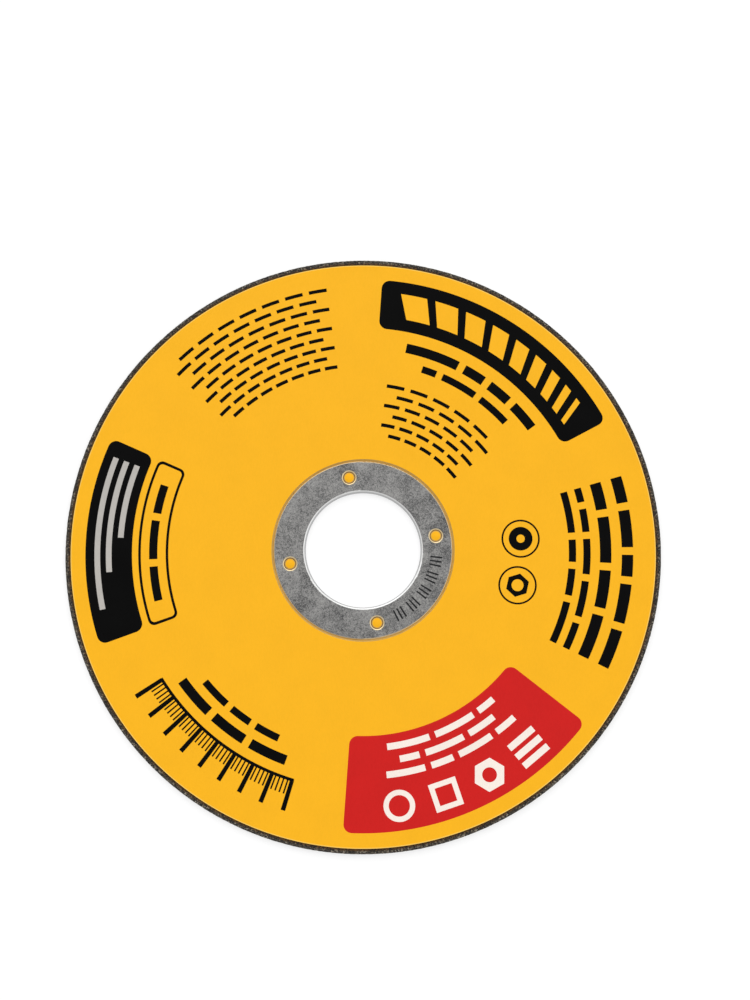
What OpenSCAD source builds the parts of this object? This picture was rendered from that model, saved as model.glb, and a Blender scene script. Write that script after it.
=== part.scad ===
// Flat reinforced cut-off wheel for an angle grinder, lying on its back with the label up.
// Three pieces: a moulded abrasive disc, a paper label on its front face, and a pressed
// steel arbor ring whose flange holds the label down and whose collar lines the bore.
// The origin is on the bore's axis in the plane of the back face, and +Z leaves the label.

/* [Wheel] */
// Outer diameter of the wheel
wheel_d = 115; // [100:1:125]
// Thickness over the abrasive and the label
wheel_t = 1.2; // [1:0.1:3.2]

/* [Label] */
// Width of the bare abrasive rim round the label
label_margin = 1.05; // [0.4:0.05:3]
// Thickness of the label's paper
label_t = 0.1; // [0.06:0.02:0.2]

/* [Arbor ring] */
// Diameter of the bore
bore_d = 22.23; // [16:0.01:25.4]
// Width of the flange, from the bore to its outer edge
flange_w = 6.18; // [5:0.01:9]
// Thickness of the ring's sheet metal
sheet_t = 0.25; // [0.25:0.05:0.4]
// Inside radius of the bend between the flange and the collar
bend_r = 0.3; // [0.1:0.05:0.4]
// Depth to which the flange is pressed into the front face
flange_sink = 0.2; // [0.1:0.05:0.3]
// Width of the slope round the flange, from the front face down to that depth
slope_w = 0.35; // [0.2:0.05:0.6]
// Height of the collar's end above the back face
collar_lift = 0.1; // [0.05:0.05:0.3]
// Width of the flange's rolled outer edge
roll_w = 0.25; // [0.22:0.01:0.6]
// Drop of the top face over that width
roll_h = 0.2; // [0.05:0.01:0.22]
// Room between the ring and what it is pressed into
seat_gap = 0.04; // [0.02:0.01:0.08]

/* [Lock holes] */
// Number of lock holes in the flange
lock_count = 4; // [3:1:6]
// Diameter of a lock hole
lock_d = 2.4; // [1.6:0.1:3]
// Width of the countersink round a lock hole
lock_sink_w = 0.22; // [0.1:0.01:0.6]
// Depth of that countersink
lock_sink_h = 0.15; // [0.05:0.01:0.22]
// Distance from the flange's outer edge to the holes' centres
lock_inset = 2.98; // [2.2:0.01:3.2]
// Angle of the first hole from +X
lock_angle = 10.9; // [0:0.1:90]
// Height of the label's swelling into each hole
swell_h = 0.12; // [0.05:0.01:0.18]
// Room between a swelling and the wall of its hole
swell_gap = 0.15; // [0.05:0.01:0.3]

/* [Glass-fibre mesh] */
// Distance between neighbouring strands
mesh_pitch = 5; // [4:0.5:8]
// Width of a strand
strand_w = 1.3; // [0.8:0.1:2]
// Height of the strands above the abrasive between them
strand_h = 0.1; // [0.05:0.01:0.15]
// Width of the plain land inside the rim
rim_land = 1.2; // [0.6:0.1:3]
// Width of the plain land round the bore
hub_land = 1.2; // [0.6:0.1:3]

/* [Hidden] */
$fn = 128;
past = 0.1; // how far a cutting tool reaches past the face it leaves by

wheel_r = wheel_d / 2;
label_r = wheel_r - label_margin;
bore_r = bore_d / 2;
ring_r = bore_r + flange_w;
collar_r = bore_r + sheet_t;
bend_turn_r = collar_r + bend_r;
lock_r = lock_d / 2;
lock_circle_r = ring_r - lock_inset;
roll_r = (roll_w * roll_w + roll_h * roll_h) / (2 * roll_h);

// Heights, from the back face up
abrasive_top = wheel_t - label_t;
seat_z = wheel_t - flange_sink;
ring_top = seat_z + sheet_t;

// The label and the abrasive below it are pressed down under the flange, by a slope round it
dish_r = ring_r + seat_gap;
slope_angle = atan(flange_sink / slope_w);
fold_shift = label_t * tan(slope_angle / 2);

// One hole through the label and the abrasive clears the ring's bend as well as its collar
press_hole_r = bend_turn_r + seat_gap;

// A swelling is a spherical cap inside its hole
swell_r = lock_r - swell_gap;
swell_sphere_r = (swell_r * swell_r + swell_h * swell_h) / (2 * swell_h);

// Open squares of the mesh, kept where a worthwhile part of one lies on the meshed ring
mesh_in_r = press_hole_r + hub_land;
mesh_out_r = wheel_r - rim_land;
open_w = mesh_pitch - strand_w;
mesh_steps = ceil(wheel_r / mesh_pitch);
least_open = open_w / 4;
function near_side(c) = max(abs(c) - open_w / 2, 0);
function far_side(c) = abs(c) + open_w / 2;
mesh_cells = [
    for (i = [-mesh_steps:mesh_steps - 1], j = [-mesh_steps:mesh_steps - 1])
        let (x = (i + 0.5) * mesh_pitch, y = (j + 0.5) * mesh_pitch)
            if (norm([near_side(x), near_side(y)]) < mesh_out_r - least_open
                && norm([far_side(x), far_side(y)]) > mesh_in_r + least_open)
                [x, y]
];

// Places its children at each lock hole
module at_lock_holes() {
    for (k = [0:lock_count - 1])
        rotate(lock_angle + k * 360 / lock_count)
            translate([lock_circle_r, 0, 0])
                children();
}

// A flat ring outline
module annulus(outer_r, inner_r) {
    difference() {
        circle(outer_r);
        circle(inner_r);
    }
}

// What the flange presses out of a face at the given height: a shallow dish, open upwards
module dish(face_z, shift) {
    rotate_extrude()
        polygon([
            [0, face_z - flange_sink],
            [dish_r + shift, face_z - flange_sink],
            [dish_r + shift + slope_w, face_z],
            [dish_r + shift + slope_w, face_z + past],
            [0, face_z + past]
        ]);
}

// The shallow squares between the strands, clipped to the meshed ring
module mesh_openings() {
    translate([0, 0, -past])
        linear_extrude(past + strand_h)
            intersection() {
                annulus(mesh_out_r, mesh_in_r);
                union() {
                    for (c = mesh_cells)
                        translate(c)
                            square(open_w, center = true);
                }
            }
}

// Moulded grain and resin, with the strands of its glass-fibre mesh standing proud at the back
module abrasive_disc() {
    color("#4d463e")
        difference() {
            cylinder(r = wheel_r, h = abrasive_top);
            translate([0, 0, -past])
                cylinder(r = press_hole_r, h = abrasive_top + 2 * past);
            dish(abrasive_top, fold_shift);
            mesh_openings();
        }
}

// Section of the label: flat outside the flange, then down the slope and flat below the flange
module label_section() {
    polygon([
        [press_hole_r, seat_z],
        [dish_r, seat_z],
        [dish_r + slope_w, wheel_t],
        [label_r, wheel_t],
        [label_r, abrasive_top],
        [dish_r + slope_w + fold_shift, abrasive_top],
        [dish_r + fold_shift, seat_z - label_t],
        [press_hole_r, seat_z - label_t]
    ]);
}

// The low cap of paper that the press squeezes up into a lock hole
module swelling() {
    intersection() {
        translate([0, 0, seat_z + swell_h - swell_sphere_r])
            sphere(swell_sphere_r);
        translate([0, 0, seat_z - label_t / 2])
            cylinder(r = swell_r, h = label_t / 2 + swell_h + past);
    }
}

// Printed paper disc, dished under the flange, with a swelling in each lock hole
module paper_label() {
    color("#fab627")
        union() {
            rotate_extrude()
                label_section();
            at_lock_holes()
                swelling();
        }
}

// Flat part of the ring, with its outer top edge rolled over by the punch
module flange_section() {
    flat_r = ring_r - roll_w;
    translate([bend_turn_r, seat_z])
        square([flat_r - bend_turn_r, sheet_t]);
    translate([flat_r, seat_z])
        square([roll_w, sheet_t - roll_h]);
    intersection() {
        translate([flat_r, ring_top - roll_r])
            circle(roll_r);
        translate([flat_r, ring_top - roll_h])
            square([roll_w, roll_h]);
    }
}

// Quarter turn of sheet metal from the flange down into the collar
module bend_section() {
    intersection() {
        translate([bend_turn_r, seat_z - bend_r])
            annulus(bend_r + sheet_t, bend_r);
        translate([bore_r, seat_z - bend_r])
            square(bend_r + sheet_t);
    }
}

// Straight tube that lines the bore
module collar_section() {
    translate([bore_r, collar_lift])
        square([sheet_t, seat_z - bend_r - collar_lift]);
}

// Drill for a lock hole, with the countersink that the punch leaves on the top
module lock_drill() {
    sink_r = lock_r + lock_sink_w;
    rotate_extrude()
        polygon([
            [0, seat_z - past],
            [lock_r, seat_z - past],
            [lock_r, ring_top - lock_sink_h],
            [sink_r, ring_top],
            [sink_r, ring_top + past],
            [0, ring_top + past]
        ]);
}

// Pressed ring of thin plated steel
module arbor_ring() {
    color("#858583")
        difference() {
            rotate_extrude()
                union() {
                    flange_section();
                    bend_section();
                    collar_section();
                }
            at_lock_holes()
                lock_drill();
        }
}

abrasive_disc();
paper_label();
arbor_ring();
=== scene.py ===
"""Looks of a flat cut-off wheel: its printed label, its bonded abrasive and its pressed ring.

Shapes are worked out in millimetres about the bore's axis, and written to meshes in metres.
Angles are in degrees, from +X towards +Y.
"""
import math
import random

import bpy
import bmesh
from mathutils import Matrix, Vector, noise
from mathutils.geometry import delaunay_2d_cdt

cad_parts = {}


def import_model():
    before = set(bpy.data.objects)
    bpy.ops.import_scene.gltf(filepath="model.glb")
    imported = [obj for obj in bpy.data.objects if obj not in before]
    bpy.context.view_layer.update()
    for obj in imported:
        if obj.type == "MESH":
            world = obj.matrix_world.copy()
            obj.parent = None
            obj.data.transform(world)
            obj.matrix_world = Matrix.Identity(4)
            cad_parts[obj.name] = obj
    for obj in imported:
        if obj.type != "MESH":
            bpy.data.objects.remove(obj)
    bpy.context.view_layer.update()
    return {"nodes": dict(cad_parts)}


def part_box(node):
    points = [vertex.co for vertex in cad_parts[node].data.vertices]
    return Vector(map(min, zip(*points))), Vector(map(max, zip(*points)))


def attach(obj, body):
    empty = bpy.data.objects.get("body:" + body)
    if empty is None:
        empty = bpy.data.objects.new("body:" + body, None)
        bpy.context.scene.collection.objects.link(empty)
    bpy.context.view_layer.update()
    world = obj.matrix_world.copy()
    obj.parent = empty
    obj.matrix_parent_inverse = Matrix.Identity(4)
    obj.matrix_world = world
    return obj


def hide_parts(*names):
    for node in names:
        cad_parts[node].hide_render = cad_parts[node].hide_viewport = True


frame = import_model()

MM = 0.001

# Sizes of the solids, read from the frame


def reach(node):
    """Largest distance of a node's box from the axis, in millimetres."""
    low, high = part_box(node)
    return max(abs(low.x), abs(low.y), high.x, high.y) / MM


def heights(node):
    """Lowest and highest level of a node, in millimetres."""
    low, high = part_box(node)
    return low.z / MM, high.z / MM


WHEEL_R = reach("abrasive_disc")
LABEL_R = reach("paper_label")
RING_R = reach("arbor_ring")
ABRASIVE_TOP = heights("abrasive_disc")[1]
SEAT_UNDER, LABEL_TOP = heights("paper_label")
LABEL_T = LABEL_TOP - ABRASIVE_TOP
SEAT_Z = SEAT_UNDER + LABEL_T
PRESS_HOLE_R = min(v.co.xy.length for v in frame["nodes"]["paper_label"].data.vertices) / MM

# Sizes that repeat the solids' own values
SEAT_GAP = 0.04
SLOPE_W = 0.35
LOCK_COUNT = 4
LOCK_R = 1.2
LOCK_INSET = 2.98
LOCK_ANGLE = 10.9
SWELL_GAP = 0.15
SWELL_H = 0.12
MESH_PITCH = 5.0
STRAND_W = 1.3
STRAND_H = 0.1
RIM_LAND = 1.2
HUB_LAND = 1.2

# Places that follow from them
FLANGE_SINK = LABEL_TOP - SEAT_Z
DISH_R = RING_R + SEAT_GAP
FACE_IN_R = DISH_R + SLOPE_W
FOLD_SHIFT = LABEL_T * math.tan(math.atan(FLANGE_SINK / SLOPE_W) / 2)
UNDER_DISH_R = DISH_R + FOLD_SHIFT
UNDER_FACE_R = UNDER_DISH_R + SLOPE_W
BACK_R = WHEEL_R - RIM_LAND
MESH_IN_R = PRESS_HOLE_R + HUB_LAND
LOCK_CIRCLE_R = RING_R - LOCK_INSET
SWELL_R = LOCK_R - SWELL_GAP

# Fineness of the meshes
LABEL_STEPS = 720
RIM_STEPS = 1440
HUB_STEPS = 360
SWELL_STEPS = 48
SWELL_RINGS = 6
WELD_M = 1e-6
SMOOTH_DEG = 28

# How faces are cut along outlines: only what lies inside them is kept, and near points become one
CUT_INSIDE = 1
CUT_NEAR = 1e-6


# Flat geometry about the bore's axis


def polar(r, degrees):
    """Point at a radius and an angle."""
    a = math.radians(degrees)
    return r * math.cos(a), r * math.sin(a)


def circle(r, steps, centre=(0, 0)):
    """Points of a circle, anticlockwise."""
    ring = (polar(r, 360 * k / steps) for k in range(steps))
    return [(centre[0] + x, centre[1] + y) for x, y in ring]


def triangulate(outline, holes=(), shapes=(), loose=()):
    """Triangles between an outline and its holes, cut along every shape and using every loose point.

    Returns points, triangles and, for each triangle, the index of the topmost shape on it or None.
    """
    points = []
    faces = []
    for loop in [outline, *holes, *shapes]:
        faces.append(list(range(len(points), len(points) + len(loop))))
        points += loop
    points += loose
    first_shape = 1 + len(holes)
    flat = [Vector(p) for p in points]
    out, _, triangles, _, _, origins = delaunay_2d_cdt(flat, [], faces, CUT_INSIDE, CUT_NEAR, True)
    kept = []
    tops = []
    for triangle, origin in zip(triangles, origins):
        if 0 not in origin or any(0 < f < first_shape for f in origin):
            continue
        kept.append(triangle)
        tops.append(max(origin) - first_shape if max(origin) >= first_shape else None)
    return [tuple(v) for v in out], kept, tops


class Patchwork:
    """Gathers a mesh patch by patch, in millimetres, and welds the patches where they meet."""

    def __init__(self):
        self.points = []
        self.faces = []
        self.slots = []

    def add(self, points, faces, slots):
        """Adds a patch. slots is one material slot for all its faces, or a list with one for each."""
        start = len(self.points)
        self.points += points
        self.faces += [[start + i for i in face] for face in faces]
        self.slots += slots if isinstance(slots, list) else [slots] * len(faces)

    def flat(self, sheet, z, slots=0):
        """Adds a triangulated sheet at one level."""
        points, triangles, _ = sheet
        self.add([(x, y, z) for x, y in points], triangles, slots)

    def lathe(self, profile, steps, slot=0):
        """Adds the surface that a profile of (radius, level) points sweeps round the axis."""
        points = [(*p, z) for r, z in profile for p in circle(r, steps)]
        faces = []
        for row in range(len(profile) - 1):
            for k in range(steps):
                a, b = row * steps + k, row * steps + (k + 1) % steps
                faces.append((a, a + steps, b + steps, b))
        self.add(points, faces, slot)

    def build(self, name, materials, moved=None):
        """Makes the object. moved, if given, shifts each welded point."""
        mesh = bpy.data.meshes.new(name)
        mesh.from_pydata([[c * MM for c in p] for p in self.points], [], self.faces)
        for material in materials:
            mesh.materials.append(material)
        mesh.polygons.foreach_set("material_index", self.slots)
        form = bmesh.new()
        form.from_mesh(mesh)
        bmesh.ops.remove_doubles(form, verts=form.verts, dist=WELD_M)
        bmesh.ops.recalc_face_normals(form, faces=form.faces)
        if moved:
            for v in form.verts:
                v.co = moved(v.co / MM) * MM
        form.to_mesh(mesh)
        form.free()
        mesh.polygons.foreach_set("use_smooth", [True] * len(mesh.polygons))
        mesh.set_sharp_from_angle(angle=math.radians(SMOOTH_DEG))
        piece = bpy.data.objects.new(name, mesh)
        bpy.context.scene.collection.objects.link(piece)
        return piece


# Material graphs

# Sockets of the Mix node for colours
MIX_SHARE, MIX_A, MIX_B, MIX_RESULT = 0, 6, 7, 2


def linear(red, green, blue):
    """Linear colour of an sRGB one given from 0 to 255."""
    def curve(c):
        c /= 255
        return c / 12.92 if c <= 0.04045 else ((c + 0.055) / 1.055) ** 2.4
    return curve(red), curve(green), curve(blue), 1.0


class Graph:
    """A material's node tree, with short calls for the nodes that repeat."""

    def __init__(self, name):
        self.material = bpy.data.materials.new(name)
        self.material.use_nodes = True
        self.tree = self.material.node_tree
        self.shader = self.tree.nodes["Principled BSDF"]
        self.place = self.add("ShaderNodeTexCoord").outputs["Object"]

    def put(self, socket, value):
        """Sets a socket, by a link where the value is another node's output."""
        if isinstance(value, bpy.types.NodeSocket):
            self.tree.links.new(value, socket)
        else:
            socket.default_value = value

    def add(self, kind, inputs=None, **settings):
        """Adds a node with its inputs and settings."""
        node = self.tree.nodes.new(kind)
        for key, value in settings.items():
            setattr(node, key, value)
        for key, value in (inputs or {}).items():
            self.put(node.inputs[key], value)
        return node

    def surface(self, **values):
        """Sets sockets of the surface shader: spaces in their names are written as underscores."""
        for key, value in values.items():
            self.put(self.shader.inputs[key.replace("_", " ")], value)

    def math(self, operation, a, b=0.0):
        """One arithmetic step."""
        return self.add("ShaderNodeMath", {0: a, 1: b}, operation=operation).outputs[0]

    def product(self, first, *others):
        """All the values multiplied together."""
        total = first
        for value in others:
            total = self.math("MULTIPLY", total, value)
        return total

    def weighed(self, first, *others):
        """Sum of (value, share) pairs, each value times its share."""
        total = self.math("MULTIPLY", *first)
        for pair in others:
            total = self.math("ADD", total, self.math("MULTIPLY", *pair))
        return total

    def span(self, value, start, end, to_start=0.0, to_end=1.0):
        """Value carried from one range to another, with its ends held and eased."""
        inputs = {"Value": value, "From Min": start, "From Max": end, "To Min": to_start, "To Max": to_end}
        return self.add("ShaderNodeMapRange", inputs, interpolation_type="SMOOTHSTEP").outputs[0]

    def mix(self, share, a, b):
        """Colour between a and b."""
        inputs = {MIX_SHARE: share, MIX_A: a, MIX_B: b}
        return self.add("ShaderNodeMix", inputs, data_type="RGBA").outputs[MIX_RESULT]

    def noise(self, size_mm, detail, stretch=None):
        """Noise from 0 to 1, with features of about the given size, longer along an axis of low stretch."""
        place = self.place
        if stretch:
            place = self.add("ShaderNodeMapping", {"Vector": place, "Scale": stretch}).outputs[0]
        inputs = {"Vector": place, "Scale": 1 / (size_mm * MM), "Detail": detail}
        return self.add("ShaderNodeTexNoise", inputs).outputs["Fac"]

    def cells(self, size_mm, feature="F1"):
        """Outputs of a pattern of random cells of about the given size."""
        inputs = {"Vector": self.place, "Scale": 1 / (size_mm * MM)}
        return self.add("ShaderNodeTexVoronoi", inputs, feature=feature).outputs

    def cell_tone(self, size_mm):
        """A value from 0 to 1 for each random cell."""
        return self.add("ShaderNodeSeparateColor", {"Color": self.cells(size_mm)["Color"]}).outputs[0]

    def attribute(self, name):
        """Value that the mesh carries at each point."""
        return self.add("ShaderNodeAttribute", attribute_name=name).outputs["Fac"]

    def axis(self, vector, name):
        """One coordinate of a vector."""
        return self.add("ShaderNodeSeparateXYZ", {"Vector": vector}).outputs[name]

    def radius_mm(self):
        """Distance from the origin, which is the distance from the bore's axis in a wheel this thin."""
        length = self.add("ShaderNodeVectorMath", {0: self.place}, operation="LENGTH").outputs["Value"]
        return self.math("DIVIDE", length, MM)

    def bump(self, height, depth_mm, strength):
        """Normal of a finely raised surface."""
        inputs = {"Height": height, "Distance": depth_mm * MM, "Strength": strength}
        return self.add("ShaderNodeBump", inputs).outputs[0]


# Label: inks on paper

PAPER_SHINE = 0.16
PAPER_FIBRE = 0.22
PAPER_GRAIN = (1.0, 0.35, 1.0)
PAPER_CLOUD = 6.0

# Inks: sRGB colour, its share of light where the film is worn, and the shine if not the paper's
INK_TABLE = {
    "yellow": ((250, 182, 24), 0.95),
    "red": ((205, 24, 21), 0.92),
    "black": ((4, 4, 4), 2.0, 0.03),
    "white": ((250, 238, 228), 0.93),
    "grey": ((186, 182, 176), 0.9),
    "pale": ((253, 205, 96), 0.95),
    # Painted shade, no ink: on the label's slope down to the flange and round each swelling's foot
    "painted_shade": ((202, 160, 84), 0.8),
    # Painted deeper shade, no ink: round each swelling, under the lock hole's wall
    "painted_deep_shade": ((120, 86, 34), 0.8),
}


def paper_ink(name, rgb, fade, shine=PAPER_SHINE):
    """Ink on pressed paper: fine fibres in a thin, slightly uneven film that is worn in places."""
    g = Graph(name)
    fibre = g.noise(PAPER_FIBRE, detail=3.0, stretch=PAPER_GRAIN)
    cloud = g.noise(PAPER_CLOUD, detail=3.0)
    patches = g.weighed((fibre, 0.5), (cloud, 0.5))
    colour = linear(*rgb)
    worn = tuple(min(1.0, c * fade) for c in colour[:3]) + (1.0,)
    g.surface(
        Base_Color=g.mix(g.span(patches, start=0.3, end=0.75), colour, worn),
        Roughness=g.span(fibre, start=0.2, end=0.8, to_start=0.46, to_end=0.62),
        Normal=g.bump(fibre, depth_mm=0.012, strength=0.3),
        Specular_IOR_Level=shine,
    )
    return g.material


INKS = {name: paper_ink(f"ink_{name}", *row) for name, row in INK_TABLE.items()}
SLOT = {name: k for k, name in enumerate(INKS)}

# Label: a plain design of panels, stripes and short bars, laid out round the bore

DRAW_SEED = 41
CORNER_STEPS = 6
ROUND_STEPS = 48
SMALL_STEPS = 32
SIGN_STEPS = 64
NUT_SIDES = 6
EDGE_LINE = 0.16
PANEL_OUT = 53.6
PANEL_CORNER = 1.6

# Angles between which each field of the print lies
SLANT_SPAN = (28, 86)
BRICK_SPAN = (98, 138)
FINE_SPAN = (38, 84)
STRIPE_SPAN = (156, 200)
SCALE_SPAN = (213, 253)
SECTION_SPAN = (266, 322)
SIDE_SPAN = (-26, 16)

# Rows of bars in the fields: radius, height of the bars, and degrees by which both ends are set in
SLANT_ROWS = ((40.6, 1.9, 8), (37.3, 1.4, 14))
STRIPE_ROWS = ((40.5, 1.6, 6),)
SCALE_ROWS = ((42.6, 1.9, 3), (39.3, 1.4, 7))
SECTION_ROWS = ((43.0, 1.25, 10), (40.4, 1.25, 14), (37.8, 1.25, 11))
SIDE_ROWS = ((51.0, 2.2, 0), (46.8, 2.2, 0), (43.2, 1.4, 0), (40.4, 1.4, 0))

# Bars in a row: shortest and longest, the gap as a share of the height, its limit and the degrees
# added to it, and how many gaps a rest may have at most to join the last bar
BAR_LENGTHS = (3.5, 9.0)
BAR_GAP_SHARE = 0.8
BAR_GAP_MOST = 1.2
BAR_GAP_DEG = 0.3
BAR_REST_GAPS = 3

# Slanted blocks, with their widths, gaps and lean in degrees
SLANT_IN = 43.8
SLANT_INSET = 2.4
SLANT_BLOCKS = 9
SLANT_START = 4
SLANT_FIRST_W = 1.3
SLANT_GROWTH = 0.57
SLANT_GAP = 1.9
SLANT_LEAN = 2.2

# Fields of dashes: inner radius, number of rows and angles
BRICK_FIELDS = ((36.0, 9, BRICK_SPAN), (22.4, 6, FINE_SPAN))
BRICK_PITCH = 1.95
BRICK_BAR = 0.7
BRICK_CELL = 4.1
BRICK_SHARE = 0.74

# Striped panel and the outlined one under it
STRIPE_IN = 44.6
STRIPE_DROP = 2.85
STRIPE_START = 3.5
STRIPE_W = 1.1
STRIPE_PITCH = 2.2
STRIPE_SHARES = (0.84, 0.66, 0.48)
OUTLINE_IN, OUTLINE_OUT = 37.6, 43.4
OUTLINE_W = 0.5
OUTLINE_CORNER = 1.2
OUTLINE_IN_CORNER = 0.8

# Graduation, with a tick's length and width
SCALE_IN = 46.0
SCALE_LINE = 0.6
SCALE_PAST_DEG = 0.4
SCALE_TICKS = 40
SCALE_GROUP = 5
SHORT_TICK = (2.6, 0.3)
LONG_TICK = (5.6, 0.8)

# End views of what the wheel cuts, on the red panel
SECTION_IN = 35.5
ICON_R = 49.0
ICON_STEP = 10.6
TUBE_R, TUBE_BORE_R = 3.0, 2.0
SQUARE_W, SQUARE_BORE_W = 5.4, 3.4
NUT_R, NUT_BORE_R = 3.2, 1.4
FLAT_W, FLAT_H = 6.0, 1.3
FLAT_PITCH = 2.15

# Signs in thin circles
SIGNS_R = 30.5
DISC_SIGN_ANGLE, NUT_SIGN_ANGLE = 4, -13
SIGN_R = 3.7
SIGN_LINE = 0.35
SIGN_SHAPE_R = 2.3
SIGN_DISC_BORE_R, SIGN_NUT_BORE_R = 0.8, 1.15


def band(r0, r1, a0, a1, corner=0.0, slant=0.0):
    """Outline of a ring sector from angle a0 to a1, with rounded corners. slant turns its outer edge."""
    steps = CORNER_STEPS if corner else 0
    loop = []

    def turn(r, a, start):
        lean = slant * (r - r0) / (r1 - r0)
        for k in range(steps + 1):
            t = math.radians(start - 90 * k / CORNER_STEPS)
            along = math.degrees(corner * math.cos(t) / r)
            loop.append(polar(r + corner * math.sin(t), a + along + lean))

    def sweep(r, start, end):
        count = math.ceil(abs(end - start))
        lean = slant * (r - r0) / (r1 - r0)
        for k in range(1, count):
            loop.append(polar(r, start + (end - start) * k / count + lean))

    low, high = r0 + corner, r1 - corner
    low_in, high_in = math.degrees(corner / low), math.degrees(corner / high)
    turn(high, a1 - high_in, 90)
    turn(low, a1 - low_in, 0)
    sweep(r0, a1 - low_in, a0 + low_in)
    turn(low, a0 + low_in, -90)
    turn(high, a0 + high_in, 180)
    sweep(r1, a0 + high_in, a1 - high_in)
    return loop


def box(y, w, h):
    """Outline of a rectangle about a point on the Y axis."""
    return [(-w / 2, y - h / 2), (w / 2, y - h / 2), (w / 2, y + h / 2), (-w / 2, y + h / 2)]


def placed(shapes, r, degrees):
    """Small shapes moved out to a radius and an angle, with their own +Y turned away from the bore."""
    a = math.radians(degrees)
    out, right = Vector((math.cos(a), math.sin(a))), Vector((math.sin(a), -math.cos(a)))
    return [(ink, [tuple(out * (r + y) + right * x) for x, y in loop]) for ink, loop in shapes]


def bars(r, height, a0, a1, draw, ink):
    """A row of bold bars of mixed lengths along a circle. A short rest joins the last bar."""
    row = []
    gap = math.degrees(min(BAR_GAP_SHARE * height, BAR_GAP_MOST) / r) + BAR_GAP_DEG
    a = a0
    while a < a1 - gap:
        span = math.degrees(draw.uniform(*BAR_LENGTHS) / r)
        if a1 - a - span < BAR_REST_GAPS * gap:
            span = a1 - a
        row.append((ink, band(r - height / 2, r + height / 2, a, a + span)))
        a += span + gap
    return row


def bar_rows(rows, a0, a1, draw, ink="black"):
    """Several rows of bars, each set in from both angles by its own inset."""
    shapes = []
    for r, height, inset in rows:
        shapes += bars(r, height, a0 + inset, a1 - inset, draw, ink)
    return shapes


def slanted_band(a0, a1, draw):
    """Black band with slanted blocks that widen along it, over two rows of bars."""
    shapes = [("black", band(SLANT_IN, PANEL_OUT, a0, a1, PANEL_CORNER))]
    a = a0 + SLANT_START
    for k in range(SLANT_BLOCKS):
        wide = SLANT_FIRST_W + SLANT_GROWTH * k
        block = band(SLANT_IN + SLANT_INSET, PANEL_OUT - SLANT_INSET, a, a + wide, slant=SLANT_LEAN)
        shapes.append(("yellow", block))
        a += wide + SLANT_GAP
    return shapes + bar_rows(SLANT_ROWS, a0, a1, draw)


def brick_field(r_in, rows, a0, a1):
    """Rows of short dashes, set like bricks, with as many in each row."""
    shapes = []
    middle = r_in + rows * BRICK_PITCH / 2
    cells = round(math.radians(a1 - a0) * middle / BRICK_CELL - 0.5)
    cell = (a1 - a0) / (cells + 0.5)
    for k in range(rows):
        r = r_in + k * BRICK_PITCH
        start = a0 + 0.5 * cell * (k % 2)
        for n in range(cells):
            a = start + n * cell
            shapes.append(("black", band(r, r + BRICK_BAR, a, a + BRICK_SHARE * cell)))
    return shapes


def striped_panel(a0, a1, draw):
    """Black field with grey stripes of falling length, over an outlined one with a row of bars."""
    shapes = [("black", band(STRIPE_IN, PANEL_OUT, a0, a1, PANEL_CORNER))]
    for k, share in enumerate(STRIPE_SHARES):
        r = PANEL_OUT - STRIPE_DROP - k * STRIPE_PITCH
        shapes.append(("grey", band(r, r + STRIPE_W, a0 + STRIPE_START, a0 + share * (a1 - a0))))
    low, high = OUTLINE_IN + OUTLINE_W, OUTLINE_OUT - OUTLINE_W
    inset = math.degrees(OUTLINE_W / OUTLINE_IN)
    shapes.append(("black", band(OUTLINE_IN, OUTLINE_OUT, a0, a1, OUTLINE_CORNER)))
    shapes.append(("yellow", band(low, high, a0 + inset, a1 - inset, OUTLINE_IN_CORNER)))
    return shapes + bar_rows(STRIPE_ROWS, a0, a1, draw)


def graduation(a0, a1, draw):
    """Ticks outside an arc, with every fifth one long and broad, over two rows of bars."""
    shapes = [("black", band(SCALE_IN - SCALE_LINE, SCALE_IN, a0 - SCALE_PAST_DEG, a1 + SCALE_PAST_DEG))]
    for k in range(SCALE_TICKS + 1):
        length, wide = LONG_TICK if k % SCALE_GROUP == 0 else SHORT_TICK
        a = a0 + (a1 - a0) * k / SCALE_TICKS
        half = math.degrees(wide / SCALE_IN) / 2
        shapes.append(("black", band(SCALE_IN - SCALE_LINE / 2, SCALE_IN + length, a - half, a + half)))
    return shapes + bar_rows(SCALE_ROWS, a0, a1, draw)


def section_panel(a0, a1, draw):
    """Red field with white end views of tubes and bars, over three rows of bars."""
    tube = [("white", circle(TUBE_R, ROUND_STEPS)), ("red", circle(TUBE_BORE_R, ROUND_STEPS))]
    square_tube = [("white", box(0, SQUARE_W, SQUARE_W)), ("red", box(0, SQUARE_BORE_W, SQUARE_BORE_W))]
    nut = [("white", circle(NUT_R, NUT_SIDES)), ("red", circle(NUT_BORE_R, SMALL_STEPS))]
    flats = [("white", box(k * FLAT_PITCH, FLAT_W, FLAT_H)) for k in (-1, 0, 1)]
    icons = (tube, square_tube, nut, flats)
    middle, middle_icon = (a0 + a1) / 2, (len(icons) - 1) / 2
    shapes = [("red", band(SECTION_IN, PANEL_OUT, a0, a1, PANEL_CORNER))]
    for k, icon in enumerate(icons):
        shapes += placed(icon, ICON_R, middle + (k - middle_icon) * ICON_STEP)
    return shapes + bar_rows(SECTION_ROWS, a0, a1, draw, "white")


def wheel_signs():
    """A wheel seen from the front and a clamping nut, each in a thin circle."""
    ring = [("black", circle(SIGN_R, SIGN_STEPS)), ("yellow", circle(SIGN_R - SIGN_LINE, SIGN_STEPS))]
    disc = [("black", circle(SIGN_SHAPE_R, ROUND_STEPS)), ("yellow", circle(SIGN_DISC_BORE_R, SMALL_STEPS))]
    nut = [("black", circle(SIGN_SHAPE_R, NUT_SIDES)), ("yellow", circle(SIGN_NUT_BORE_R, SMALL_STEPS))]
    return placed(ring + disc, SIGNS_R, DISC_SIGN_ANGLE) + placed(ring + nut, SIGNS_R, NUT_SIGN_ANGLE)


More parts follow.
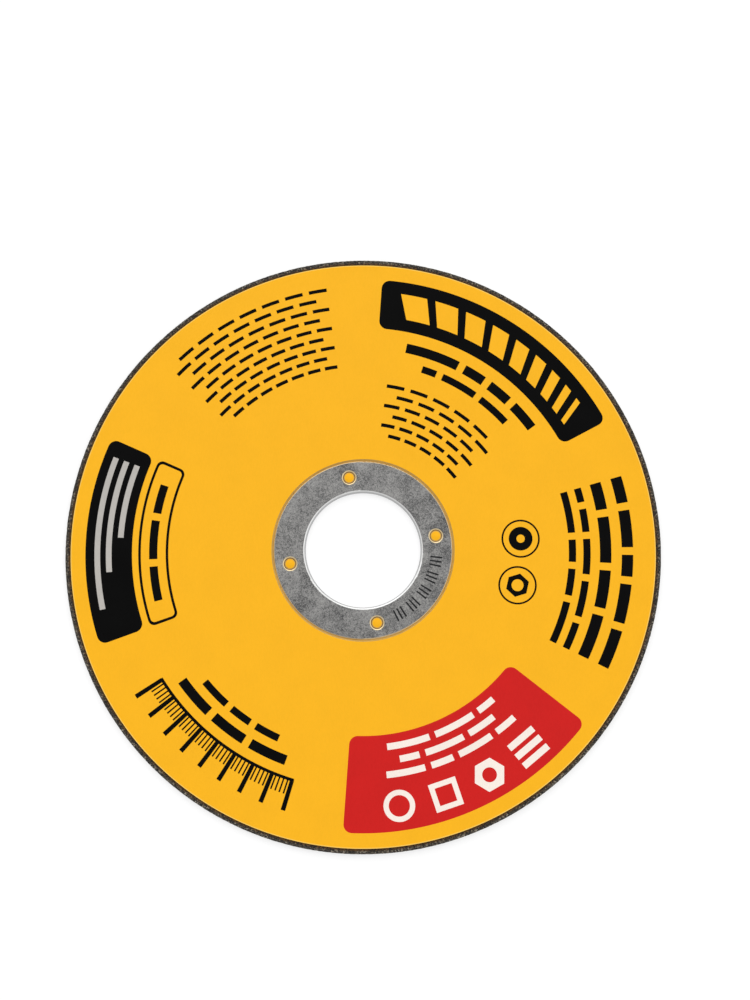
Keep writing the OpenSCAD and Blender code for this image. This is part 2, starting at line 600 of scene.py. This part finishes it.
def print_design():
    """Every printed shape, undermost first, as (ink, outline)."""
    draw = random.Random(DRAW_SEED)
    shapes = [("pale", circle(LABEL_R, LABEL_STEPS)), ("yellow", circle(LABEL_R - EDGE_LINE, LABEL_STEPS))]
    shapes += slanted_band(*SLANT_SPAN, draw)
    for r_in, rows, angles in BRICK_FIELDS:
        shapes += brick_field(r_in, rows, *angles)
    shapes += striped_panel(*STRIPE_SPAN, draw)
    shapes += graduation(*SCALE_SPAN, draw)
    shapes += section_panel(*SECTION_SPAN, draw)
    shapes += bar_rows(SIDE_ROWS, *SIDE_SPAN, draw)
    shapes += wheel_signs()
    return shapes


def printed_label():
    """The paper disc, dished under the ring's flange, with its print cut into the flat face."""
    design = print_design()
    outlines = [outline for _, outline in design]
    face = triangulate(circle(LABEL_R, LABEL_STEPS), [circle(FACE_IN_R, LABEL_STEPS)], outlines)
    work = Patchwork()
    work.flat(face, LABEL_TOP, [SLOT[design[top][0]] for top in face[2]])

    places = [polar(LOCK_CIRCLE_R, LOCK_ANGLE + 360 * k / LOCK_COUNT) for k in range(LOCK_COUNT)]
    feet = [circle(SWELL_R, SWELL_STEPS, p) for p in places]
    # Rings of painted deep shade round each swelling, under the lock hole's wall.
    shade_rings = [circle(LOCK_R, SWELL_STEPS, p) for p in places]
    seat = triangulate(circle(DISH_R, LABEL_STEPS), [circle(PRESS_HOLE_R, LABEL_STEPS), *feet], shade_rings)
    # The seat is yellow, with painted deep shade inside those rings.
    work.flat(seat, SEAT_Z, [SLOT["yellow" if top is None else "painted_deep_shade"] for top in seat[2]])
    for place in places:
        swelling(work, place)

    # Painted shade on the slope down to the flange.
    work.lathe([(DISH_R, SEAT_Z), (FACE_IN_R, LABEL_TOP)], LABEL_STEPS, SLOT["painted_shade"])
    underside = [
        (PRESS_HOLE_R, SEAT_Z),
        (PRESS_HOLE_R, SEAT_UNDER),
        (UNDER_DISH_R, SEAT_UNDER),
        (UNDER_FACE_R, ABRASIVE_TOP),
        (LABEL_R, ABRASIVE_TOP),
        (LABEL_R, LABEL_TOP),
    ]
    work.lathe(underside, LABEL_STEPS, SLOT["pale"])
    piece = work.build("printed_label", list(INKS.values()))
    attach(piece, "root")
    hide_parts("paper_label")


def swelling(work, place):
    """The low cap of paper inside one lock hole, with a ring of painted shade where it leaves the seat."""
    ball = (SWELL_R ** 2 + SWELL_H ** 2) / (2 * SWELL_H)
    points = []
    for ring in range(SWELL_RINGS):
        r = SWELL_R * (1 - ring / SWELL_RINGS)
        z = SEAT_Z + SWELL_H - ball + math.sqrt(ball ** 2 - r ** 2)
        points += [(x, y, z) for x, y in circle(r, SWELL_STEPS, place)]
    points.append((*place, SEAT_Z + SWELL_H))
    faces = []
    for ring in range(SWELL_RINGS - 1):
        for k in range(SWELL_STEPS):
            a, b = ring * SWELL_STEPS + k, ring * SWELL_STEPS + (k + 1) % SWELL_STEPS
            faces.append((a, b, b + SWELL_STEPS, a + SWELL_STEPS))
    top = len(points) - 1
    last = (SWELL_RINGS - 1) * SWELL_STEPS
    faces += [(last + k, last + (k + 1) % SWELL_STEPS, top) for k in range(SWELL_STEPS)]
    # Painted shade on the cap's outer ring, where it leaves the seat.
    slots = [SLOT["painted_shade"]] * SWELL_STEPS + [SLOT["yellow"]] * (len(faces) - SWELL_STEPS)
    work.add(points, faces, slots)


# Abrasive: grain, resin and glass-fibre mesh

SPECK_MM = 0.2
GRIT_CLOUD = 2.4
GRIT_DARK = linear(24, 21, 18)
GRIT_MIDDLE = linear(86, 79, 69)
GRIT_PALE = linear(140, 132, 118)

# Dark brown line on the front next to the label, full as far out from the label as the first value and gone
# at the second
LABEL_LINE_FULL, LABEL_LINE_GONE = 0.25, 0.65
LABEL_LINE_MOST = 0.9
LABEL_LINE_DARK = linear(20, 12, 1)
LABEL_LINE_PALE = linear(88, 56, 3)

# Glass strands on the back, with noise drawn out along them
FIBRE_MM = 0.14
FIBRE_STRETCH = 0.1
GLASS_DARK = linear(74, 66, 45)
GLASS_PALE = linear(158, 147, 116)
GLASS_MOST = 0.85
STRAND_MASK = "strand"
ALONG_MASK = "strand_along_x"

# Relief: size and height of a grain, a slow wave in that height, and spacing of the points that carry it
GRAIN_MM = 0.42
GRAIN_RISE = 0.055
WAVE_SIZE = 2.7 * GRAIN_MM
WAVE_SHARE = 0.25
GRAIN_STEP = 0.19
GRAIN_EDGE = 0.3
GRAIN_UNDER_LABEL = 0.05

# Mesh on the back: distances of its points from a strand's middle, then a strand's wave and where its
# colour sets in, both as shares of its height, and how far the mesh and its points keep from edges
STRAND_STOPS = (0, 0.22, 0.44, 0.6, 0.72, 1.5, 2.5)
STRAND_WAVE = 0.28
STRAND_SHOWS = (0.25, 0.6)
HUB_CLEAR, RIM_CLEAR = 0.3, 0.4
POINTS_HUB_CLEAR, POINTS_RIM_CLEAR = 0.35, 0.2
LAND_EASE = 0.2
BACK_NEAR = 1e-4


def abrasive_material():
    """Dark grains in brown resin, with paler resin-soaked glass strands where the mesh lies bare."""
    g = Graph("bonded_abrasive")
    tone = g.cell_tone(SPECK_MM)
    cloud = g.noise(GRIT_CLOUD, detail=3.0)
    stone = g.mix(g.span(tone, start=0.25, end=0.75), GRIT_DARK, GRIT_MIDDLE)
    stone = g.mix(g.span(tone, start=0.86, end=0.92), stone, GRIT_PALE)
    stone = g.mix(g.span(cloud, start=0.45, end=0.75, to_end=0.35), stone, GRIT_DARK)

    level = g.math("DIVIDE", g.axis(g.place, "Z"), MM)
    front = g.span(level, start=0.5 * ABRASIVE_TOP, end=0.9 * ABRASIVE_TOP, to_end=LABEL_LINE_MOST)
    near_label = g.span(g.radius_mm(), start=LABEL_R + LABEL_LINE_GONE, end=LABEL_R + LABEL_LINE_FULL)
    # Colour of the dark brown line next to the label, laid on the front only.
    resin = g.mix(g.span(tone, start=0.3, end=0.8), LABEL_LINE_DARK, LABEL_LINE_PALE)
    stone = g.mix(g.product(near_label, front), stone, resin)

    strand = g.attribute(STRAND_MASK)
    along_y = g.noise(FIBRE_MM, detail=2.0, stretch=(1, FIBRE_STRETCH, 1))
    along_x = g.noise(FIBRE_MM, detail=2.0, stretch=(FIBRE_STRETCH, 1, 1))
    fibre = g.mix(g.attribute(ALONG_MASK), along_y, along_x)
    glass = g.mix(g.span(fibre, start=0.3, end=0.7), GLASS_DARK, GLASS_PALE)
    inside = g.span(g.cells(SPECK_MM, "DISTANCE_TO_EDGE")["Distance"], start=0.0, end=0.35)
    g.surface(
        Base_Color=g.mix(g.product(strand, GLASS_MOST), stone, glass),
        Roughness=g.span(tone, start=0.0, end=1.0, to_start=0.52, to_end=0.86),
        Normal=g.bump(g.mix(strand, inside, fibre), depth_mm=0.05, strength=0.7),
        Specular_IOR_Level=0.2,
    )
    return g.material


def grain_depth(p):
    """Depth below a grain's middle at a point, from about 0 to 1 between grains."""
    near = noise.voronoi(p / GRAIN_MM)[0][0]
    return near - WAVE_SHARE * noise.noise(p / WAVE_SIZE)


def ease(x, low, high):
    """0 below low, 1 above high, and a smooth rise between them."""
    t = min(1, max(0, (x - low) / (high - low)))
    return t * t * (3 - 2 * t)


def strand_lift(across, along, parity):
    """Height of one set of strands: round backs that pass over and under the other set."""
    nearest = round(across / MESH_PITCH)
    off = 2 * (across - nearest * MESH_PITCH) / STRAND_W
    if abs(off) >= 1:
        return 0.0
    wave = math.cos(math.pi * (along / MESH_PITCH + nearest + parity))
    return math.sqrt(1 - off * off) * (1 - STRAND_WAVE + STRAND_WAVE * wave)


def weave(x, y):
    """Height of the woven mesh, from 0 to 1, and whether its upper strand runs along X.

    The mesh fades out on the plain lands at the hub and the rim.
    """
    r = math.hypot(x, y)
    shown = ease(r, PRESS_HOLE_R + HUB_CLEAR, MESH_IN_R) * ease(WHEEL_R - r, RIM_CLEAR, RIM_LAND)
    along_y, along_x = strand_lift(x, y, 0), strand_lift(y, x, 1)
    return shown * max(along_y, along_x), along_x > along_y


def weave_points():
    """Points of the back face, set close together along both edges of every strand."""
    reach_out = math.ceil(WHEEL_R / MESH_PITCH)
    stops = list(STRAND_STOPS) + [MESH_PITCH - s for s in STRAND_STOPS[1:-1]]
    lines = [MESH_PITCH * k + s for k in range(-reach_out, reach_out) for s in stops]
    low, high = PRESS_HOLE_R + POINTS_HUB_CLEAR, BACK_R - POINTS_RIM_CLEAR
    return [(x, y) for x in lines for y in lines if low < math.hypot(x, y) < high]


def back_point(p):
    """A point of the back face, raised off the floor wherever neither a strand nor a land reaches it."""
    r = p.xy.length
    lift, _ = weave(p.x, p.y)
    land = ease(r, BACK_R - LAND_EASE, WHEEL_R) + 1 - ease(r, PRESS_HOLE_R, MESH_IN_R)
    rest = STRAND_H * (1 - max(lift, min(1, land)))
    grit = GRAIN_RISE * (1 - lift) * grain_depth(p)
    return Vector((p.x, p.y, rest + max(0, grit)))


def rim_point(p):
    """A point above the back face, sunk between the grains if it lies on the bare rim."""
    r = p.xy.length
    rough = ease(r, LABEL_R - GRAIN_UNDER_LABEL, LABEL_R + GRAIN_EDGE)
    out = Vector((p.x / r, p.y / r, 0)) * ease(r, WHEEL_R - GRAIN_EDGE, WHEEL_R)
    up = Vector((0, 0, 1)) * ease(p.z, ABRASIVE_TOP - GRAIN_EDGE, ABRASIVE_TOP)
    return p - (out + up) * (GRAIN_RISE * rough * grain_depth(p))


def grit_point(p):
    """Where a point of the plain disc goes."""
    return back_point(p) if p.z < BACK_NEAR else rim_point(p)


def grit_disc():
    """The moulded disc, with real grains on its rim and its woven mesh in relief on the back."""
    def stops(start, end):
        count = math.ceil(abs(end - start) / GRAIN_STEP)
        return [start + (end - start) * k / count for k in range(1, count + 1)]

    rim = [(LABEL_R, ABRASIVE_TOP)]
    rim += [(r, ABRASIVE_TOP) for r in stops(LABEL_R, WHEEL_R)]
    rim += [(WHEEL_R, z) for z in stops(ABRASIVE_TOP, 0)]
    rim += [(r, 0) for r in stops(WHEEL_R, BACK_R)]
    hub = [
        (PRESS_HOLE_R, 0),
        (PRESS_HOLE_R, SEAT_UNDER),
        (UNDER_DISH_R, SEAT_UNDER),
        (UNDER_FACE_R, ABRASIVE_TOP),
    ]
    back = triangulate(circle(BACK_R, RIM_STEPS), [circle(PRESS_HOLE_R, HUB_STEPS)], loose=weave_points())
    front = triangulate(circle(LABEL_R, RIM_STEPS), [circle(UNDER_FACE_R, HUB_STEPS)])
    work = Patchwork()
    work.lathe(rim, RIM_STEPS)
    work.flat(back, 0)
    work.lathe(hub, HUB_STEPS)
    work.flat(front, ABRASIVE_TOP)
    piece = work.build("grit_disc", [abrasive_material()], grit_point)

    places = [v.co / MM for v in piece.data.vertices]
    woven = [weave(p.x, p.y) if p.z < 2 * STRAND_H else (0.0, False) for p in places]
    masks = {
        STRAND_MASK: [ease(lift, *STRAND_SHOWS) for lift, _ in woven],
        ALONG_MASK: [float(along_x) for _, along_x in woven],
    }
    for name, values in masks.items():
        piece.data.attributes.new(name, "FLOAT", "POINT").data.foreach_set("value", values)
    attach(piece, "root")
    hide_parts("abrasive_disc")


# Ring: dull plated sheet metal

SPANGLE_MM = 0.3
PLATE_FINE = 0.13
PLATE_CLOUD = 3.4
PLATE_DARK = linear(58, 58, 59)
PLATE_PALE = linear(139, 138, 136)

# Painted highlights and reflections on the bent and sunk edges, with the radii that part the bore's lip,
# the countersinks and the rolled edge
LIP_OUT = 12.1
ROLL_IN = 16.8
EDGE_SOFT = 0.1
LIP_PAINTED_HIGHLIGHT = linear(205, 205, 204)
COLLAR_PAINTED_HIGHLIGHT = linear(181, 181, 181)
SINK_PAINTED_REFLECTION = linear(200, 184, 148)
ROLL_PAINTED_REFLECTION = linear(186, 164, 126)

# Row of strokes: angles, radii, and how many steps of the pitch make a group with its gap
STAMP_FROM, STAMP_TO = -65.0, -4.3
STAMP_PITCH = 3.2
STAMP_GROUP = 4
STAMP_IN, STAMP_OUT = 13.1, 15.4
STAMP_SOFT = 0.05
STAMP_INK = linear(26, 26, 28)


def stamp_mask(g):
    """1 on a row of short inked strokes in groups of three, 0 elsewhere."""
    turn = g.math("DEGREES", g.math("ARCTAN2", g.axis(g.place, "Y"), g.axis(g.place, "X")))
    step = g.math("DIVIDE", g.math("SUBTRACT", turn, STAMP_FROM), STAMP_PITCH)
    off = g.math("ABSOLUTE", g.math("SUBTRACT", g.math("FRACT", step), 0.5))
    group = g.math("FRACT", g.math("DIVIDE", step, STAMP_GROUP))
    radius = g.radius_mm()
    return g.product(
        g.span(off, start=0.24, end=0.16),
        g.math("LESS_THAN", group, 1 - 1 / STAMP_GROUP),
        g.math("GREATER_THAN", turn, STAMP_FROM),
        g.math("LESS_THAN", turn, STAMP_TO),
        g.span(radius, start=STAMP_IN - STAMP_SOFT, end=STAMP_IN + STAMP_SOFT),
        g.span(radius, start=STAMP_OUT + STAMP_SOFT, end=STAMP_OUT - STAMP_SOFT),
    )


def ring_material():
    """Finely speckled plating, with painted highlights and reflections where an edge is bent or sunk, and a
    row of strokes.
    """
    g = Graph("plated_steel")
    tone = g.cell_tone(SPANGLE_MM)
    fine = g.noise(PLATE_FINE, detail=1.0)
    cloud = g.noise(PLATE_CLOUD, detail=1.2)
    speckle = g.weighed((tone, 0.12), (fine, 0.56), (cloud, 0.34))
    plate = g.mix(g.span(speckle, start=0.3, end=0.7), PLATE_DARK, PLATE_PALE)
    ink = g.product(stamp_mask(g), g.span(fine, start=0.2, end=0.4, to_start=0.7))
    plate = g.mix(ink, plate, STAMP_INK)

    up = g.axis(g.add("ShaderNodeNewGeometry").outputs["Normal"], "Z")
    radius = g.radius_mm()
    # Painted highlights and reflections on the edges, chosen by how far the surface leans from flat: grey
    # on the bore's lip and collar, cream in the countersinks, brownish on the rolled edge.
    edge = g.mix(g.span(up, start=0.9, end=0.72), LIP_PAINTED_HIGHLIGHT, COLLAR_PAINTED_HIGHLIGHT)
    edge = g.mix(g.span(radius, start=LIP_OUT, end=LIP_OUT + EDGE_SOFT), edge, SINK_PAINTED_REFLECTION)
    edge = g.mix(g.span(radius, start=ROLL_IN - EDGE_SOFT, end=ROLL_IN), edge, ROLL_PAINTED_REFLECTION)
    g.surface(
        Base_Color=g.mix(g.span(up, start=0.996, end=0.95), plate, edge),
        Metallic=0.85,
        Roughness=g.span(speckle, start=0.2, end=0.8, to_start=0.4, to_end=0.56),
        Normal=g.bump(speckle, depth_mm=0.01, strength=0.3),
    )
    return g.material


# Stage: white floor, even light and the photograph's camera

SENSOR_MM = 36.0
LENS_MM = 51.57
EYE_MM = (3.21, -25.16, 276.64)
AIM_MM = (2.31, 9.67, 1.2)
CLIP_START_M = 0.01
WORLD_LIGHT = 0.475
FLOOR_SIZE_M = 6.0
FLOOR_DROP_M = 0.00003
FLOOR_WHITE = 0.34
FLOOR_GLOW = 0.7
FLOOR_ROUGHNESS = 0.9
WHITE = (1, 1, 1, 1)

# Lamps: name, azimuth, elevation, strength and spread
LAMPS = (("key", 103, 40, 1.95, 75), ("fill", -5, 45, 0.65, 60))


def seen_directly(tree):
    """1 for rays from the camera, a mirror or a glass, and 0 for the rays that carry light."""
    path = tree.nodes.new("ShaderNodeLightPath")
    total = path.outputs["Is Camera Ray"]
    for name in ("Is Glossy Ray", "Is Transmission Ray"):
        node = tree.nodes.new("ShaderNodeMath")
        node.operation = "MAXIMUM"
        tree.links.new(total, node.inputs[0])
        tree.links.new(path.outputs[name], node.inputs[1])
        total = node.outputs[0]
    return total


def scaled(tree, value, low, high):
    """A 0 to 1 value carried to low and high."""
    node = tree.nodes.new("ShaderNodeMapRange")
    tree.links.new(value, node.inputs["Value"])
    node.inputs["To Min"].default_value = low
    node.inputs["To Max"].default_value = high
    return node.outputs[0]


def floor():
    """A wide pale floor that takes the shadow and looks white."""
    mesh = bpy.data.meshes.new("floor")
    half = FLOOR_SIZE_M / 2
    corners = [(-half, -half), (half, -half), (half, half), (-half, half)]
    mesh.from_pydata([(x, y, -FLOOR_DROP_M) for x, y in corners], [], [(0, 1, 2, 3)])
    material = bpy.data.materials.new("floor_white")
    material.use_nodes = True
    tree = material.node_tree
    shader = tree.nodes["Principled BSDF"]
    shader.inputs["Base Color"].default_value = (FLOOR_WHITE, FLOOR_WHITE, FLOOR_WHITE, 1)
    shader.inputs["Roughness"].default_value = FLOOR_ROUGHNESS
    shader.inputs["Specular IOR Level"].default_value = 0.0
    shader.inputs["Emission Color"].default_value = WHITE
    tree.links.new(scaled(tree, seen_directly(tree), 0, FLOOR_GLOW), shader.inputs["Emission Strength"])
    mesh.materials.append(material)
    plane = bpy.data.objects.new("floor", mesh)
    bpy.context.scene.collection.objects.link(plane)


def world():
    """Even light from all round, which looks white where it is seen."""
    surround = bpy.data.worlds.new("surround")
    surround.use_nodes = True
    tree = surround.node_tree
    light = tree.nodes["Background"]
    light.inputs["Color"].default_value = WHITE
    tree.links.new(scaled(tree, seen_directly(tree), WORLD_LIGHT, 1.0), light.inputs["Strength"])
    bpy.context.scene.world = surround


def lamp(name, azimuth, elevation, strength, spread):
    """A broad, distant lamp."""
    data = bpy.data.lights.new(name, "SUN")
    data.energy = strength
    data.angle = math.radians(spread)
    piece = bpy.data.objects.new(name, data)
    x, y = polar(math.cos(math.radians(elevation)), azimuth)
    towards = Vector((x, y, math.sin(math.radians(elevation))))
    piece.rotation_euler = towards.to_track_quat("Z", "Y").to_euler()
    bpy.context.scene.collection.objects.link(piece)


def camera():
    """The photograph's view: nearly straight down, with +Y upwards in the picture."""
    data = bpy.data.cameras.new("camera")
    data.sensor_width = SENSOR_MM
    data.lens = LENS_MM
    data.clip_start = CLIP_START_M
    piece = bpy.data.objects.new("camera", data)
    eye, aim = Vector(EYE_MM) * MM, Vector(AIM_MM) * MM
    back = (eye - aim).normalized()
    right = Vector((0, 1, 0)).cross(back).normalized()
    axes = Matrix((right, back.cross(right), back)).transposed()
    piece.matrix_world = Matrix.Translation(eye) @ axes.to_4x4()
    bpy.context.scene.collection.objects.link(piece)
    bpy.context.scene.camera = piece


printed_label()
grit_disc()
frame["nodes"]["arbor_ring"].data.materials[0] = ring_material()
floor()
world()
for row in LAMPS:
    lamp(*row)
camera()
bpy.context.scene.view_settings.view_transform = "Standard"
